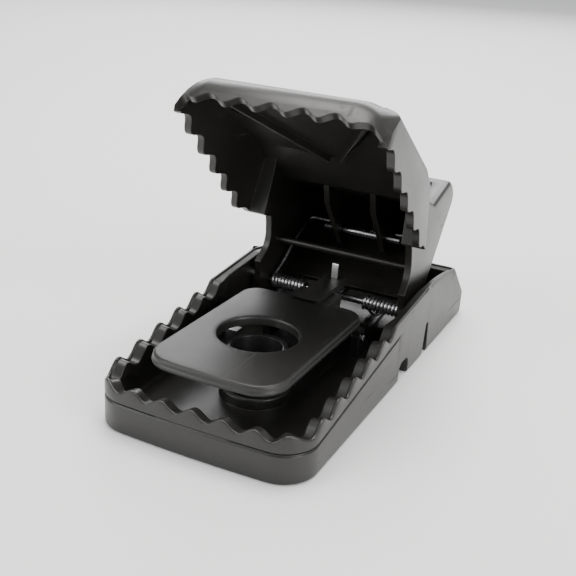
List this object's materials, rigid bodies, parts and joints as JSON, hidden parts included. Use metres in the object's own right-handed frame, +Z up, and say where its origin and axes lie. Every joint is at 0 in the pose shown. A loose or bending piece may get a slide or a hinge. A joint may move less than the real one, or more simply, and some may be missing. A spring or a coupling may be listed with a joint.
{
  "type": "snap mouse trap",
  "caption": "Moulded plastic snap mouse trap with a toothed tray and sprung toothed jaw, thumb pedal, tilting bait treadle, steel catch and lift-out bait cup, shown set.",
  "frame": {"origin": "centre of the set trap's box, on the surface that it stands on", "axes": "+Z up, the mouth faces -Y and the thumb pedal is at +Y, the trap's width runs along X"},
  "size_m": [0.05, 0.1084, 0.07],
  "materials": {
    "tray_plastic": "black injection-moulded plastic, satin gloss",
    "jaw_plastic": "black injection-moulded plastic, satin gloss outside, finer gloss inside",
    "treadle_plastic": "black injection-moulded plastic, fine satin",
    "cup_plastic": "black injection-moulded plastic, glossy",
    "spring_steel": "bright drawn spring wire",
    "pin_steel": "bright ground steel"
  },
  "bodies": {
    "tray": {"base_tray": "tray_plastic", "hinge_pin": "pin_steel", "treadle_pin": "pin_steel", "left_torsion_spring": "spring_steel", "right_torsion_spring": "spring_steel"},
    "jaw": {"jaw_shell": "jaw_plastic", "spring_bar": "pin_steel"},
    "trigger": {"treadle": "treadle_plastic", "catch_hook": "pin_steel"},
    "cup": {"bait_cup": "cup_plastic"}
  },
  "joints": [
    {"name": "jaw_hinge", "type": "hinge", "parent": "tray", "child": "jaw", "pos_m": [0, 0.01723, 0.011], "axis": [1, 0, 0], "range_deg": [-2, 53], "deforming": ["left_torsion_spring", "right_torsion_spring"]},
    {"name": "treadle_pivot", "type": "hinge", "parent": "tray", "child": "trigger", "pos_m": [0, 0.00473, 0.007], "axis": [1, 0, 0], "range_deg": [0, 6.5]},
    {"name": "bait_cup_lift", "type": "slide", "parent": "tray", "child": "cup", "axis": [0, 0, 1], "range_m": [0, 0.009]}
  ]
}
